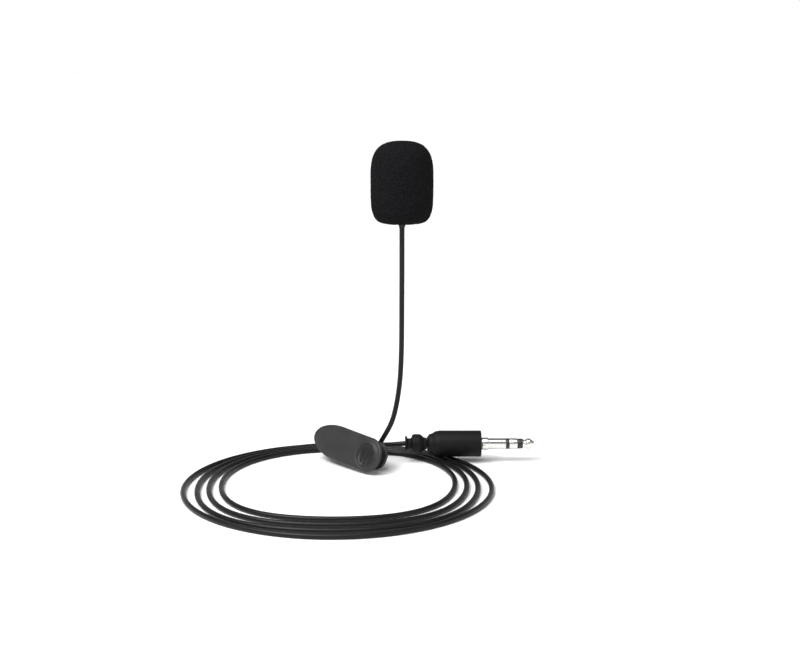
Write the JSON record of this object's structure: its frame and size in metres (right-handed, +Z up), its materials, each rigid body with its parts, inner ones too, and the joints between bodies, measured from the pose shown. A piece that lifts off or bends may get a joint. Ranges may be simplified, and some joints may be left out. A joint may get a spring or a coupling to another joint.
{
  "type": "lavalier microphone",
  "caption": "Clip-on lavalier microphone with a slip-on foam windscreen, a sprung clothing clip, a loosely coiled thin cord and a 3.5 mm three-contact plug.",
  "frame": {"origin": "on the surface that the microphone stands on, under the middle of the box round the head and the clip", "axes": "+Z up, along the head and its windscreen; +X along the plug, towards its tip; +Y away from the side that the clip faces"},
  "size_m": [0.1092, 0.0944, 0.1029],
  "materials": {
    "foam": "open-cell foam, charcoal, fully matte",
    "black_metal": "satin black coating",
    "steel": "plain bright steel",
    "aluminium_can": "drawn, satin",
    "felt": "thin black felt",
    "metallised_film": "metallised film on a brass ring",
    "board": "green solder mask",
    "chip": "moulded package",
    "rubber": "matte",
    "clip_plastic": "satin moulded black",
    "cord_pvc": "soft black sheath, faint sheen",
    "plug_moulding": "matte moulded black",
    "nickel": "bright nickel plating",
    "insulator": "glossy black",
    "wire_red": "thin insulated wire",
    "wire_copper": "stranded copper"
  },
  "bodies": {
    "root": {"head_barrel": "black_metal", "front_grille": "black_metal", "head_tail_cap": "black_metal", "dust_felt": "felt", "capsule_boot": "rubber", "capsule_can": "aluminium_can", "diaphragm_ring": "metallised_film", "back_plate": "steel", "capsule_board": "board", "amplifier_chip": "chip", "head_strain_relief": "rubber", "head_signal_wire": "wire_red", "head_shield_wire": "wire_copper", "clip_rear_jaw": "clip_plastic", "clip_hinge_pin": "steel", "clip_spring": "steel", "cord_head_lead": "cord_pvc", "cord_coil": "cord_pvc", "cord_plug_lead": "cord_pvc", "plug_strain_relief": "plug_moulding", "plug_body": "plug_moulding", "jack_sleeve": "nickel", "jack_insulator_rear": "insulator", "jack_ring": "nickel", "jack_insulator_front": "insulator", "jack_tip": "nickel", "plug_signal_wire": "wire_red", "plug_shield_wire": "wire_copper"},
    "windscreen": {"foam_windscreen": "foam"},
    "front_jaw": {"clip_front_jaw": "clip_plastic"}
  },
  "joints": [
    {"name": "clip_hinge", "type": "hinge", "parent": "root", "child": "front_jaw", "pos_m": [-0.00864, 0.00259, 0.00629], "axis": [0.3163, 0.2134, 0.9243], "range_deg": [0, 15], "stiffness_Nm_per_rad": 0.01, "deforming": ["clip_spring"]},
    {"name": "windscreen_slide", "type": "slide", "parent": "root", "child": "windscreen", "axis": [0, 0, 1], "range_m": [0, 0.03]}
  ]
}
